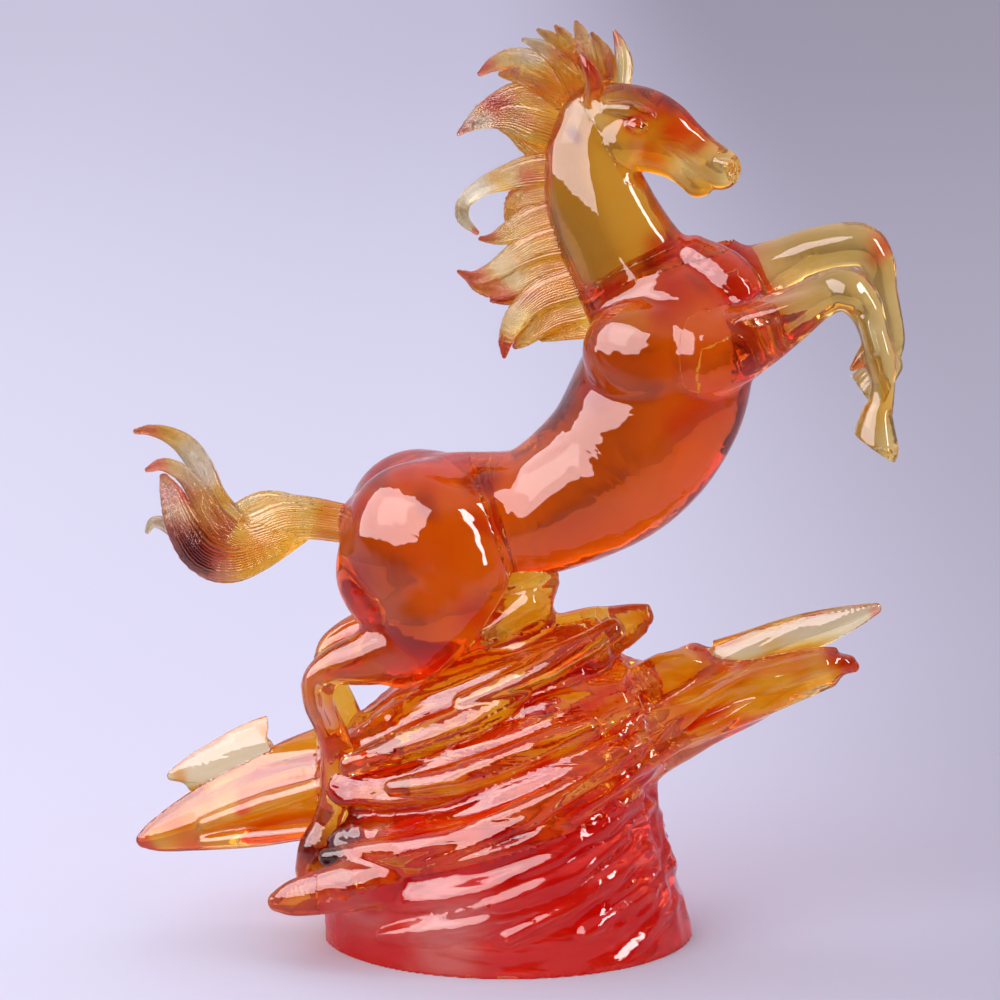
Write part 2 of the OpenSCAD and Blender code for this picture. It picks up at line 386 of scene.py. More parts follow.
horse_forms = {
    "barrel": within(trunk, (-45, -45, 100), (98, 45, 240)),
    "hindquarters": within(haunch, (-70, -45, 72), (25, 45, 172)),
    "neck": within(neck_form, (-5, -35, 170), (85, 35, 290)),
    "head": within(head_form, (5, -25, 225), (85, 25, 290)),
    "right_foreleg": within(right_fore, (35, -38, 145), (135, 10, 230)),
    "left_foreleg": within(left_fore, (40, -10, 155), (140, 35, 240)),
    "right_hind_leg": within(right_hind, (-80, -35, 12), (0, 8, 124)),
    "left_hind_leg": within(left_hind, (-80, -8, 12), (3, 35, 126)),
}
fillets = {"hindquarters": 1.5, "neck": 2.5, "head": 2, "right_foreleg": 2.5, "left_foreleg": 2.5,
           "right_hind_leg": 2, "left_hind_leg": 2}


def horse(p):
    f = horse_forms["barrel"](p)
    for name, k in fillets.items():
        f = join(f, horse_forms[name](p), k)
    return f


# ---- Mane and tail wax ----
# Thin fins laid up lock by lock, each combed into fine grooves that follow its
# curl and close in at its tip. Ears are pinched from the same wax.


def comb_place(p, path):
    """How far across its lock, -1 to 1, each point of p lies."""
    best = np.full(len(p), far_away)
    across = np.zeros(len(p))
    for a, b in zip(path, path[1:]):
        ab = b[:3] - a[:3]
        t, gap = along(p, a, b)
        r = a[3] + t * (b[3] - a[3])
        d = np.hypot(gap[:, 0], gap[:, 2]) / r
        u = (gap[:, 2] * ab[0] - gap[:, 0] * ab[2]) / (math.hypot(ab[0], ab[2]) + 1e-9) / r
        nearer = d < best
        best = np.where(nearer, d, best)
        across = np.where(nearer, u, across)
    return across


def lock(p, stations, depth=0.5, lines=8, comb=0.32):
    """Distance to a tapering lock, with lines grooves combed comb mm deep."""
    path = smooth_run(stations, 4)
    reach = path[:, 3:] + 8
    lo = (path[:, :3] - reach).min(0)
    hi = (path[:, :3] + reach).max(0)

    def form(p):
        best = np.full(len(p), far_away)
        size = np.ones(len(p))
        for a, b in zip(path, path[1:]):
            t, gap = along(p, a, b)
            gap[:, 1] /= depth
            r = a[3] + t * (b[3] - a[3])
            d = np.sqrt((gap**2).sum(1)) - r
            size = np.where(d < best, r, size)
            best = np.minimum(best, d)
        across = comb_place(p, path)
        side = np.where(p[:, 1] > path[:, 1].mean(), 0.9, 0.0)
        groove = 0.5 + 0.5 * np.cos(math.pi * lines * across + side + 1.3 * np.sin(5 * across))
        return best + comb * np.minimum(1, size / 3.5) * groove
    return within(form, lo, hi)(p)


hair_locks = {
    "forelock": [
        [(28.5, -1, 272.5, 3.2), (29.5, -1, 281.5, 3.0), (28, 0, 287, 1.9), (26, 1, 290, 0.8)],
        [(31.5, 1, 272, 2.8), (32, 2, 279.5, 2.1), (31, 3, 284.5, 1.3), (29, 3, 287.5, 0.6)],
        [(25, -5, 273, 3.0), (24, -7.5, 277, 2.4), (26.5, -8.5, 271, 2.0), (31, -8.5, 269.5, 1.6),
         (36, -7, 270, 0.8)]],
    "mane_crown": [
        [(26, 0, 270, 6), (18, 0, 275, 6.6), (10, 0, 279.5, 6), (2, 0, 282, 4.2), (-4, 0, 281, 2.6),
         (-8.5, 0, 278, 1.1)],
        [(25, 1.5, 271, 4.4), (21, 2.5, 281, 3.8), (18, 3.5, 288, 2.6), (15, 3.5, 292, 0.9)],
        [(27, -2, 271, 4.0), (24.5, -3, 283, 3.6), (22.5, -2, 290, 2.4), (21, -1, 293.6, 0.9)],
        [(22, -2.5, 272, 4.4), (17, -3, 281, 3.8), (11, -2.5, 286, 2.6), (5, -2, 288.5, 1.0)],
        [(23, 2, 273, 4.0), (18, 3, 283, 3.4), (13.5, 2.5, 288.5, 2.2), (9.5, 2, 291, 0.9)],
        [(20, -1, 268, 4.5), (12, -3, 274, 4.0), (4, -3, 277.5, 3.0), (-2, -3, 278, 1.2)]],
    "mane_upper": [
        [(20, 0, 268, 7.4), (12, 0, 270, 7.0), (4, 0, 270.5, 5.8), (-3, 0, 268.5, 4.2),
         (-9, 0, 265, 2.8), (-15, 0, 259.5, 1.1)],
        [(19, -1, 260, 7.6), (9, -1.5, 263, 7.2), (1, -1, 265, 5.2), (-7, 0, 263.5, 3.0),
         (-13, 0, 260.5, 0.9)],
        [(18, 1.5, 252, 6.4), (9, 2, 256, 5.6), (3, 2, 260, 3.8), (-2.5, 2, 262, 1.9)],
        [(16, 3, 266, 5.6), (6, 4, 267.5, 4.6), (-3, 4.5, 268.5, 2.6), (-9.5, 4, 267, 0.9)]],
    "mane_curl": [
        [(18, -1, 248.5, 6.4), (8, -1.5, 248, 5.8), (-0.5, -1.5, 245.8, 4.5), (-8, -1, 242.8, 3.2),
         (-13.6, -0.5, 238, 2.6), (-14, 0, 232.8, 2.2), (-9.8, 0, 228.4, 0.9)],
        [(18, 1, 241.5, 7.0), (8, 1, 240.5, 5.8), (2.5, 1, 238, 3.6), (0.5, 1, 233.5, 2.0)],
        [(18, 0, 235, 7.0), (8, 0, 232, 6.2), (1, 0, 228.6, 4.1), (-4, 0, 226.6, 2.2),
         (-8.5, 0, 226.4, 0.9)]],
    "mane_lower": [
        [(20, -1, 227, 7.0), (9.5, -1, 224.5, 6.4), (2, -1, 220.5, 4.8), (-4.5, -0.5, 216.3, 3.4),
         (-10.5, 0, 214.2, 2.3), (-15.3, 0, 216, 0.9)],
        [(21, 1, 219.5, 7.0), (10.5, 1, 217, 6.4), (4, 1, 213.5, 5), (-2.5, 1, 210.5, 3.8),
         (-9, 1, 210.7, 1.9), (-12.5, 1, 213.2, 0.9)],
        [(17, 3, 214, 4.6), (8, 3.5, 209.5, 3.6), (1, 3.5, 206.8, 2.2), (-5, 3, 206.4, 0.9)]],
    "mane_base": [
        [(21, -1, 212.5, 7.0), (12, -1, 209.5, 6.4), (6.5, -1, 205.5, 5.2), (2, -1, 200.5, 4.0),
         (-0.6, -1, 194.5, 2.6), (-1.2, -1, 189.6, 1.0)],
        [(23, 1, 205, 6.6), (15, 1, 202.5, 5.6), (10, 1, 199, 4.4), (5.5, 1, 195, 3.0),
         (2.5, 1, 192.4, 1.3)],
        [(24, 2.5, 198.5, 4.6), (16.5, 2.5, 196.5, 3.1), (11, 2.5, 194.5, 1.4)]],
    "tail": [
        [(-44, 0, 134.5, 7), (-52.5, 0, 135.5, 6.4), (-62, 0, 137, 6.9), (-70.5, 0, 137, 7.6),
         (-78, 0, 134, 7.4)],
        [(-66, 3, 138, 5.7), (-76, 5, 140, 5.1), (-83, 6, 138.5, 4.1), (-87.5, 5, 135.5, 3.2),
         (-91, 4, 132.5, 2.5)],
        [(-78.5, 2, 131, 6.0), (-86.5, 4, 133, 5.8), (-93.5, 5, 142, 4.6), (-97, 5, 151.5, 4.1),
         (-101.5, 4, 159, 3.8), (-107, 4, 163.0, 2.8), (-113, 3, 165, 1.9), (-117.8, 3, 164.6, 1.0)],
        [(-72, -1, 133, 6), (-84.5, -3, 130, 6), (-92.5, -5, 137, 5), (-97, -6, 146, 4),
         (-102, -6, 152.5, 3), (-108.5, -5, 155.5, 2.2), (-113.5, -5, 153.8, 1.0)],
        [(-74, -2, 128, 4.6), (-86, -4, 124.5, 6.8), (-96, -5, 127, 7.4), (-102.5, -5, 136, 6.1),
         (-106, -4, 145, 4.1), (-108.5, -4, 151, 1.6)],
        [(-101.5, 5, 129, 3.8), (-108.5, 6, 133.5, 2.6), (-113, 6, 134.5, 1.8), (-115, 6, 131.5, 0.9)],
        [(-66, 2, 133, 4.4), (-78.5, 2, 124.5, 4.8), (-88, 2, 120, 4.5), (-96.5, 3, 120.8, 3.8),
         (-103, 3, 127.5, 2.9)]],
}
# Each lock's thickness by its width, its number of grooves and their depth.
tail_combing = [(0.85, 4, 0.05), (0.55, 8, 0.25), (0.7, 8, 0.4), (0.7, 8, 0.4), (0.75, 11, 0.35),
                (0.8, 4, 0.15), (0.8, 8, 0.4)]
ears = {
    "right_ear": [(25.5, -5.5, 269, 2.6), (26.5, -8, 275.5, 3.0), (24.8, -9.5, 280.5, 2.1),
                  (22.4, -9.5, 284.5, 0.7)],
    "left_ear": [(35, 5, 271, 2.4), (36, 7, 279.5, 3.0), (35, 8, 285.5, 2.0), (33.2, 8, 290.2, 0.7)],
}


def lock_group(name):
    def form(p):
        f = np.full(len(p), far_away)
        combing = tail_combing if name == "tail" else [(0.48, 9, 0.42)] * 9
        for stations, (depth, lines, comb) in zip(hair_locks[name], combing):
            f = join(f, lock(p, stations, depth, lines, comb), 0.7)
        return f
    return form


def ear_form(name):
    def form(p):
        f = run(p, ears[name], 0.7, 6)
        hollow = [(x + 1.0, y - 1.7, z + 1, r * 0.62) for x, y, z, r in ears[name]]
        return carve(f, run(p, hollow, 0.7, 6), 0.6)
    return form


hair_room = {
    "right_ear": ((16, -15, 262), (34, -2, 288)), "left_ear": ((28, 1, 264), (42, 13, 293)),
    "forelock": ((18, -13, 264), (42, 8, 293)), "mane_crown": ((-12, -10, 262), (34, 10, 296)),
    "mane_upper": ((-19, -9, 242), (28, 12, 280)), "mane_curl": ((-19, -9, 221), (27, 9, 258)),
    "mane_lower": ((-19, -9, 200), (30, 10, 236)), "mane_base": ((-5, -9, 184), (32, 10, 222)),
    "tail": ((-122, -16, 110), (-38, 16, 172)),
}
hair = {name: within(ear_form(name) if name in ears else lock_group(name), *room)
        for name, room in hair_room.items()}


# ---- Rock wax ----
# Split slate: long shards that all sweep up to the horse's front, steeper as
# they go, with two broken blades standing out at the sides.


def sweep(x):
    """Height of one line of the rock's grain."""
    return 0.20 * x + 0.0012 * (x + 60)**2


def grain(p, seed):
    """Smooth noise, 0 to 1, one unit to a cell."""
    i = np.floor(p).astype(np.int64)
    f = p - i
    f = f * f * (3 - 2 * f)
    out = 0
    for corner in range(8):
        c = np.array([corner & 1, corner >> 1 & 1, corner >> 2])
        k = i + c
        h = (k[:, 0] * 73856093) ^ (k[:, 1] * 19349663) ^ (k[:, 2] * 83492791) ^ (seed * 2654435761)
        h = (h ^ (h >> 13)) * 1274126177 & 0x7fffffff
        h = (h ^ (h >> 11)) & 0xffff
        out = out + np.where(c == 1, f, 1 - f).prod(1) * (h / 65535.0)
    return out


def layers(p, length, width, height, seed):
    """Crests that run along the sweep, -0.5 to 0.5."""
    s = p[:, 2] - sweep(p[:, 0]) + 1.5 * np.sin(p[:, 1] / 9)
    n = grain(np.stack([p[:, 0] / length, p[:, 1] / width, s / height], 1), seed)
    return 0.5 - np.sqrt((2 * n - 1)**2 + 0.01)


def foot(p):
    rise = np.clip(p[:, 2] / 52, -0.2, 1.3)
    a = 60 - 8 * rise
    b = 48 - 9 * rise
    q = np.sqrt(((p[:, 0] + 7 * rise) / a)**2 + (p[:, 1] / b)**2) + 1e-9
    f = (q - 1) * b
    return np.maximum(f, p[:, 2] - 46 - sweep(p[:, 0]))


def rock_core(p):
    f = foot(p)
    f = join(f, run(p, [(-50, 0, 32, 12), (-20, 0, 41, 17), (14, 0, 53, 17.5), (36, 0, 65, 15)], 2.0, 6), 4)
    f = join(f, run(p, [(-50, 0, 52, 11), (-20, 0, 60, 15), (14, 0, 72, 15), (34, 0, 80, 11)], 1.9, 6), 5)
    return join(f, run(p, [(-44, 0, 66, 8), (-18, 0, 78, 12), (8, 0, 89, 12), (25, 0, 96, 8)], 1.6, 6), 5)


def skin_depth(x, z):
    """Half the core's thickness at each x and z, 0 where it has none."""
    low = np.zeros(len(x))
    high = np.full(len(x), 60.0)
    for _ in range(9):
        middle = (low + high) / 2
        inside = rock_core(np.stack([x, middle, z], 1)) < 0
        low = np.where(inside, middle, low)
        high = np.where(inside, high, middle)
    return low


shard_count = 46
shard_random = np.random.default_rng(12)
shards = []
for i in range(shard_count):
    side = -1 if i % 2 == 0 else 1
    base = -10 + 70 * ((i // 2) / (shard_count // 2 - 1)) + shard_random.uniform(-1.5, 1.5)
    start = shard_random.uniform(-62, -10)
    length = shard_random.uniform(38, 80)
    size = shard_random.uniform(2.6, 5.2) * (1.0 if base > 8 else 0.6)
    x = np.linspace(start, min(start + length, 58), 8)
    z = base + sweep(x) + 1.5 * np.sin(x / 19 + i)
    y = skin_depth(x, z)
    t = np.linspace(0, 1, 8)
    r = size * np.sqrt(np.sin(math.pi * (0.06 + 0.88 * t)))
    keep = (y > 6) & (z > 9)
    if keep.sum() > 3:
        shards.append(np.stack([x, side * (y - 0.35 * r), z, r], 1)[keep])
# Long shards that a viewer picks out: the one from the front spike up into the
# right blade, and the looped fingers under the haunch.
shards += [np.array(s, float) for s in [
    [(-57, -26, 33, 3), (-34, -37, 38.5, 4.2), (-5, -39, 45, 4.2), (14, -35, 54.5, 4.4),
     (32, -27, 66, 4.6), (50, -17, 75, 4.2), (68, -10, 81.5, 3)],
    [(-20, -38, 34, 3), (5, -38, 43, 4), (26, -31, 55, 4.4), (44, -20, 64, 4.4), (60, -11, 71, 3.6),
     (78, -7, 78, 2.6)],
    [(-36, -31, 57, 2.5), (-17, -33, 61, 4.4), (8, -32, 70, 4.6), (25, -27, 76, 3.4)],
    [(-50, -24, 62, 3), (-32, -26, 70, 5), (-10, -25, 79, 5), (4, -22, 86, 3)],
    [(-14, -24, 83, 3), (4, -22, 90, 4.4), (20, -17, 97, 4), (33, -11, 103, 3)],
    [(0, 20, 86, 3), (16, 17, 94, 4.4), (30, 11, 101, 3.4)],
    [(22, -12, 84, 4), (38, -8, 82, 6), (50, -3, 87, 5.5), (60, 2, 91, 3.2)],
    [(48, -15, 65, 2), (66, -11, 72, 3.2), (86, -6, 79, 3), (103, -3, 84.5, 1.6)],
    [(54, -13, 78, 2), (70, -9.5, 83, 3), (88, -6, 87.5, 2.6), (100, -4, 90, 1.4)],
    [(-56, -9, 53, 2), (-76, -6.5, 46, 3), (-98, -2.5, 37, 2)],
    [(-56, -9, 38, 2), (-76, -6.5, 34.5, 2.8), (-98, -1.5, 30.5, 1.8)]]]


def spike_form(p):
    return run(p, [(-38, -33, 28, 9), (-48, -34, 26.5, 8.6), (-58, -33, 24, 7.4), (-67, -32, 21.5, 5.8),
                   (-72.5, -31, 20, 3.4)], 0.8, 6, 1.7)


def upper_spike_form(p):
    return run(p, [(10, 0, 94, 9), (24, 0, 98, 8.5), (35, 0, 101, 6.8), (44, 0, 104.5, 3.4)], 0.85, 6, 1.6)


def post_form(p):
    f = run(p, [(3, 0, 94, 13), (4, 0, 106, 10.8), (4.5, 0, 116, 11), (0, 0, 126, 16)], 0.85, 6, 1.8)
    return join(f, run(p, [(-24, -8, 96, 5), (-8, -9, 104, 6), (6, -8, 112, 5)], 0.9, 5, 1.6), 1.5)


def left_wing_form(p):
    f = run(p, [(-50, 4, 48, 18), (-68, 4, 45.5, 16.3), (-80, 4, 42, 14.6), (-92, 4, 38.3, 12),
                (-102, 4, 35, 9.2), (-112, 4, 31.4, 5.8), (-117.6, 4, 29.6, 2.9)], 0.6, 8, 1.35)
    return join(f, run(p, [(-58, 9, 62, 4), (-74, 8, 56, 3.4), (-96, 7, 45, 2.4)], 0.8, 5), 1)


def left_fin_form(p):
    f = run(p, [(-108, 6, 50.5, 2.2), (-98, 6, 52, 7.2), (-84, 6, 58, 8.8), (-70, 6, 63, 9)], 0.34, 6, 1.4)
    f = carve(f, run(p, [(-112, 6, 44, 5), (-106.5, 6, 45.5, 3)], 3), 1)
    f = np.maximum(f, side_of(p, (-79.5, 76), (-75.5, 52)))
    return carve(f, run(p, [(-72, 6, 66, 5), (-77, 6, 61.5, 1.5)], 3), 1)


def right_wing_form(p):
    f = run(p, [(20, 0, 60, 18), (36, 0, 66, 17.5), (48, 0, 71, 16), (60, 0, 76, 13.4),
                (75, 0, 79.5, 10.4), (84.5, 0, 83, 8.2), (98, 0, 88, 6.4), (106, 0, 89.8, 4.4),
                (110.6, 0, 88.4, 2)], 0.85, 8, 1.6)
    f = join(f, run(p, [(44, 6, 80, 6), (58, 5, 87, 5), (66, 4, 90.5, 2.6)], 0.9, 5, 1.6), 1)
    return carve(f, run(p, [(115, 0, 97, 4.5), (107.5, 0, 94.5, 2.2)], 3), 1)


def right_fin_form(p):
    f = run(p, [(60, 4, 86, 7.6), (77.5, 4, 92, 7), (93.5, 4, 98, 6.2), (107, 4, 102.6, 4.6),
                (117.6, 4, 106.6, 1.8)], 0.5, 6, 1.4)
    f = np.maximum(f, side_of(p, (67.6, 70), (65.6, 104)))
    return carve(f, run(p, [(118, 4, 97.5, 5), (108, 4, 95.5, 2)], 3), 1)


rock_arms = {
    "front_spike": (within(spike_form, (-82, -48, 6), (-26, -16, 48)), 2),
    "upper_spike": (within(upper_spike_form, (-4, -18, 78), (52, 18, 116)), 2),
    "belly_post": (within(post_form, (-34, -20, 76), (24, 20, 146)), 2.5),
    "left_wing": (within(left_wing_form, (-126, -16, 16), (-28, 24, 76)), 2.5),
    "right_wing": (within(right_wing_form, (-6, -34, 30), (118, 34, 108)), 6),
    "left_wing_fin": (within(left_fin_form, (-118, -3, 34), (-60, 15, 80)), 0.8),
    "right_wing_fin": (within(right_fin_form, (52, -5, 72), (124, 13, 116)), 0.8),
}


def rock(p):
    f = rock_core(p)
    for shard in shards:
        f = join(f, run(p, shard, 1.0, 2, 1.7), 0.9)
    for form, fillet in rock_arms.values():
        f = join(f, form(p), fillet)
    calm = np.clip(p[:, 2] / 14, 0, 1) * np.clip((108 - np.abs(p[:, 0])) / 40, 0.25, 1)
    smooth_cheek = np.clip((p[:, 0] + 2.2 * p[:, 2] - 10) / 50, 0.15, 1)
    f = f - calm * smooth_cheek * (2.4 * layers(p, 55, 12, 9, 3) + 0.9 * layers(p, 40, 7, 4, 8))
    return np.maximum(f, -p[:, 2])


rock = within(rock, (-126, -58, -3), (124, 58, 146))


def bodies(p):
    """The horse and the rock, for finding which faces are buried in a neighbour."""
    return np.minimum(horse(p), rock(p))


# ---- Barrel ----
# Chest, shoulders and belly are one casting in deep orange glass. It is poured
# in a lost-wax mould, fire-polished, and ground where neck, loin and legs seat.


def solid(field, lo, hi, pitch):
    """Closed mesh of where the field is negative: vertices in mm, and quads."""
    lo = np.array(lo, float)
    step = 4
    cell = pitch * step
    count = np.ceil((np.array(hi, float) - lo) / cell).astype(int)
    axes = [lo[i] + cell * (np.arange(count[i]) + 0.5) for i in range(3)]
    middles = np.stack(np.meshgrid(*axes, indexing="ij"), -1).reshape(-1, 3)
    rough = field(middles)
    near = np.abs(rough) < 1.9 * cell
    dense = rough.reshape(count)
    for axis in range(3):
        dense = dense.repeat(step, axis)
    offsets = (np.stack(np.meshgrid(*[np.arange(step)] * 3, indexing="ij"), -1).reshape(-1, 3))
    corner = np.stack(np.unravel_index(np.flatnonzero(near), tuple(count)), 1) * step
    index = (corner[:, None] + offsets[None]).reshape(-1, 3)
    fine = field(lo + pitch * (index + 0.5))
    dense[index[:, 0], index[:, 1], index[:, 2]] = fine
    grid = openvdb.FloatGrid()
    grid.copyFromArray(np.ascontiguousarray(dense, np.float32))
    grid.transform = openvdb.createLinearTransform(voxelSize=pitch)
    points, quads = grid.convertToQuads(isovalue=0.0)
    return np.array(points, float) + lo + 0.5 * pitch, np.array(quads, int)


def skin_normals(points, quads):
    """Outward unit normals of a mesh's vertices."""
    corner = points[quads]
    flat = np.cross(corner[:, 2] - corner[:, 0], corner[:, 3] - corner[:, 1])
    flat = np.repeat(flat, 4, 0)
    out = np.stack([np.bincount(quads.ravel(), flat[:, i], len(points)) for i in range(3)], 1)
    return out / (np.linalg.norm(out, axis=1) + 1e-9)[:, None]


def settle(points, out, field, most, turns):
    """Moves the points along out on to the field's surface, by up to most each turn."""
    for _ in range(turns):
        f = field(points)
        steep = (field(points + 0.1 * out) - f) / 0.1
        points = points - out * np.clip(f / np.maximum(steep, 0.4), -most, most)[:, None]
    return points


def slope(points, field):
    """Unit vectors the way that the field rises fastest."""
    f = field(points)
    out = np.stack([field(points + 0.05 * axis) - f for axis in np.eye(3)], 1)
    return out / (np.linalg.norm(out, axis=1) + 1e-9)[:, None]


def largest(points, quads):
    """The biggest connected part of a mesh."""
    label = np.arange(len(points))
    edges = np.concatenate([quads[:, [0, 1]], quads[:, [1, 2]], quads[:, [2, 3]]])
    while True:
        low = np.minimum(label[edges[:, 0]], label[edges[:, 1]])
        new = label.copy()
        np.minimum.at(new, edges[:, 0], low)
        np.minimum.at(new, edges[:, 1], low)
        new = new[new]
        new = new[new]
        if (new == label).all():
            break
        label = new
    names, sizes = np.unique(label[quads[:, 0]], return_counts=True)
    keep = label == names[sizes.argmax()]
    renumber = np.cumsum(keep) - 1
    return points[keep], renumber[quads[keep[quads[:, 0]]]]


# A face is bonded once it is sunk this far in a neighbour, a crease is felt for at these two heights
# above the skin to paint shade into it, and the foot clears the table. All in mm.
sunk = 0.13
shade_crease_heights = (1.2, 3.2)
foot_gap = 0.05


def cast_shape(wax, ground, room, pitch):
    """The wax where ground is negative, which faces are bonded to others, and how
    thick the glass is and how deep in a crease each point lies, for painted shade."""
    points, quads = solid(lambda p: np.maximum(wax(p), ground(p)), *room, pitch)
    points, quads = largest(points, quads)
    out = skin_normals(points, quads)
    points = settle(points, out, lambda p: np.maximum(wax(p), ground(p)), 0.6 * pitch, 2)
    edge = np.flatnonzero((np.abs(wax(points)) < 0.45 * pitch) & (np.abs(ground(points)) < 0.45 * pitch))
    if len(edge):
        for _ in range(3):
            for face in (ground, wax):
                points[edge] = settle(points[edge], slope(points[edge], face), face, 0.4 * pitch, 1)
    points[:, 2] = np.maximum(points[:, 2], foot_gap)
    middles = points[quads].mean(1)
    buried = (bodies(middles) < -sunk) | (ground(middles) > wax(middles))
    thick = np.clip(-wax(points - 6 * out) / 6, 0, 1)
    # Painted shade: how deep in a crease each point sits, felt at the two heights above the skin.
    crease_shade = 0
    for reach in shade_crease_heights:
        crease_shade = crease_shade + np.clip((0.9 * reach - wax(points + reach * out)) / reach, 0, 1)
    return points, quads, buried.astype(np.int32), np.stack([thick, crease_shade], 1)


# Shares of base and drop where they mix, how far a drop's edge runs (mm), and how
# much deeper than wide a drop is.
base_share = 0.3
drop_share = 3.0
run_out = 2.2
flat_drop = (1, 0.6, 1)


def frit_mix(points, base, drops):
    """Colour of the crushed glass at each point: drops of (x, y, z, reach,
    colour) melted into a base, their edges run out a little."""
    wander = np.stack([np.sin(points[:, 2] / 4.3 + points[:, 0] / 9), np.sin(points[:, 0] / 5.1),
                       np.sin(points[:, 1] / 3.7 + points[:, 0] / 6)], 1)
    q = points + run_out * wander
    total = np.full(len(points), base_share)
    colour = np.outer(total, base)
    for x, y, z, reach, tint in drops:
        w = drop_share * np.exp(-2.2 * (((q - (x, y, z)) * flat_drop)**2).sum(1) / reach**2)
        total = total + w
        colour = colour + np.outer(w, tint)
    return colour / total[:, None]


def glass(name, clear=0.85, grain_size=(60, 60, 60), tilt=0.0, mottle=0.25, wave=0.25, combed=False):
    """Cast crystal: frit colours with mottling, a little haze in the body, and a
    fire-polished skin that is not quite even."""
    m = bpy.data.materials.new(name)
    m.use_nodes = True
    t = m.node_tree
    look = t.nodes["Principled BSDF"]
    look.inputs["Transmission Weight"].default_value = clear
    look.inputs["Roughness"].default_value = 0.02
    look.inputs["IOR"].default_value = 1.5
    look.inputs["Specular IOR Level"].default_value = 0.34
    place = t.nodes.new("ShaderNodeTexCoord")
    turn = t.nodes.new("ShaderNodeMapping")
    turn.inputs["Rotation"].default_value = (0, tilt, 0)
    turn.inputs["Scale"].default_value = grain_size
    t.links.new(place.outputs["Object"], turn.inputs["Vector"])
    cloud = t.nodes.new("ShaderNodeTexNoise")
    cloud.inputs["Scale"].default_value = 1.0
    cloud.inputs["Detail"].default_value = 3.0
    cloud.inputs["Distortion"].default_value = 0.6
    t.links.new(turn.outputs["Vector"], cloud.inputs["Vector"])
    frit = t.nodes.new("ShaderNodeAttribute")
    frit.attribute_name = "frit"
    shade = t.nodes.new("ShaderNodeMapRange")
    shade.inputs["From Min"].default_value = 0.35
    shade.inputs["From Max"].default_value = 0.65
    shade.inputs["To Min"].default_value = 1 - mottle
    shade.inputs["To Max"].default_value = 1.06
    t.links.new(cloud.outputs["Fac"], shade.inputs["Value"])
    power = t.nodes.new("ShaderNodeGamma")
    inverse = t.nodes.new("ShaderNodeMath")
    inverse.operation = "DIVIDE"
    inverse.inputs[0].default_value = 1.0
    t.links.new(shade.outputs["Result"], inverse.inputs[1])
    t.links.new(frit.outputs["Color"], power.inputs["Color"])
    t.links.new(inverse.outputs["Value"], power.inputs["Gamma"])
    t.links.new(power.outputs["Color"], look.inputs["Base Color"])
    bump = t.nodes.new("ShaderNodeBump")
    bump.inputs["Distance"].default_value = 0.001 * wave
    height = cloud.outputs["Fac"]
    if combed:
        comb = t.nodes.new("ShaderNodeAttribute")
        comb.attribute_name = "comb"
        hair_line = t.nodes.new("ShaderNodeMath")
        hair_line.operation = "SINE"
        t.links.new(comb.outputs["Fac"], hair_line.inputs[0])
        thin = t.nodes.new("ShaderNodeMath")
        thin.operation = "MULTIPLY_ADD"
        thin.inputs[1].default_value = 0.16
        t.links.new(hair_line.outputs[0], thin.inputs[0])
        t.links.new(cloud.outputs["Fac"], thin.inputs[2])
        height = thin.outputs[0]
    t.links.new(height, bump.inputs["Height"])
    t.links.new(bump.outputs["Normal"], look.inputs["Normal"])
    return m


# Ground faces are fused with clear bond, which light passes straight through.
clear_bond = bpy.data.materials.new("clear_bond")
clear_bond.use_nodes = True
bond_tree = clear_bond.node_tree
bond_tree.nodes.remove(bond_tree.nodes["Principled BSDF"])
bond_through = bond_tree.nodes.new("ShaderNodeBsdfTransparent")
bond_tree.links.new(bond_through.outputs[0], bond_tree.nodes["Material Output"].inputs["Surface"])


def cast(name, wax, ground, room, pitch, material, base, drops, crease_shade_strength=2.2, comb=None):
    """Makes the casting that stands for a CAD node. Its colour looks deeper where
    the glass is thick, and is darkened in creases as painted shade by as much as fold."""
    points, quads, buried, form = cast_shape(wax, ground, room, pitch)
    # The colour deepens with glass thickness, and creases get painted shade.
    depth = 0.75 + 0.32 * form[:, 0] + crease_shade_strength * form[:, 1]
    mesh = bpy.data.meshes.new(name)
    mesh.from_pydata((points * mm).tolist(), [], quads.tolist())
    mesh.materials.append(material)
    mesh.materials.append(clear_bond)
    mesh.polygons.foreach_set("material_index", buried)
    mesh.polygons.foreach_set("use_smooth", np.ones(len(quads), bool))
    mesh.set_sharp_from_angle(angle=math.radians(55))
    loop_edge = np.empty(len(mesh.loops), np.int32)
    mesh.loops.foreach_get("edge_index", loop_edge)
    bonded = np.bincount(loop_edge, np.repeat(buried, 4), len(mesh.edges)) == 1
    keen = np.empty(len(mesh.edges), bool)
    mesh.edges.foreach_get("use_edge_sharp", keen)
    mesh.edges.foreach_set("use_edge_sharp", keen | bonded)
    frit = mesh.attributes.new("frit", "FLOAT_COLOR", "POINT")
    rgba = np.ones((len(points), 4))
    rgba[:, :3] = frit_mix(points, base, drops) ** depth[:, None]
    frit.data.foreach_set("color", rgba.ravel())
    if comb is not None:
        mesh.attributes.new("comb", "FLOAT", "POINT").data.foreach_set("value", comb(points))
    mesh.update()
    piece = bpy.data.objects.new(name + "_glass", mesh)
    scene.collection.objects.link(piece)
    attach(piece, "root")
    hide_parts(name)
    return piece


def all_of(*grounds):
    """Ground where every one of the faces leaves glass."""
    return lambda p: np.max([g(p) for g in grounds], 0)


def left_of(start, end):
    return lambda p: side_of(p, end, start)


def right_of(start, end):
    return lambda p: side_of(p, start, end)


def nearer(name, rival):
    """Ground to the seam halfway between two of the horse's forms."""
    return lambda p: (horse_forms[name](p) - horse_forms[rival](p)) / 2


def outside(ground):
    return lambda p: -ground(p)


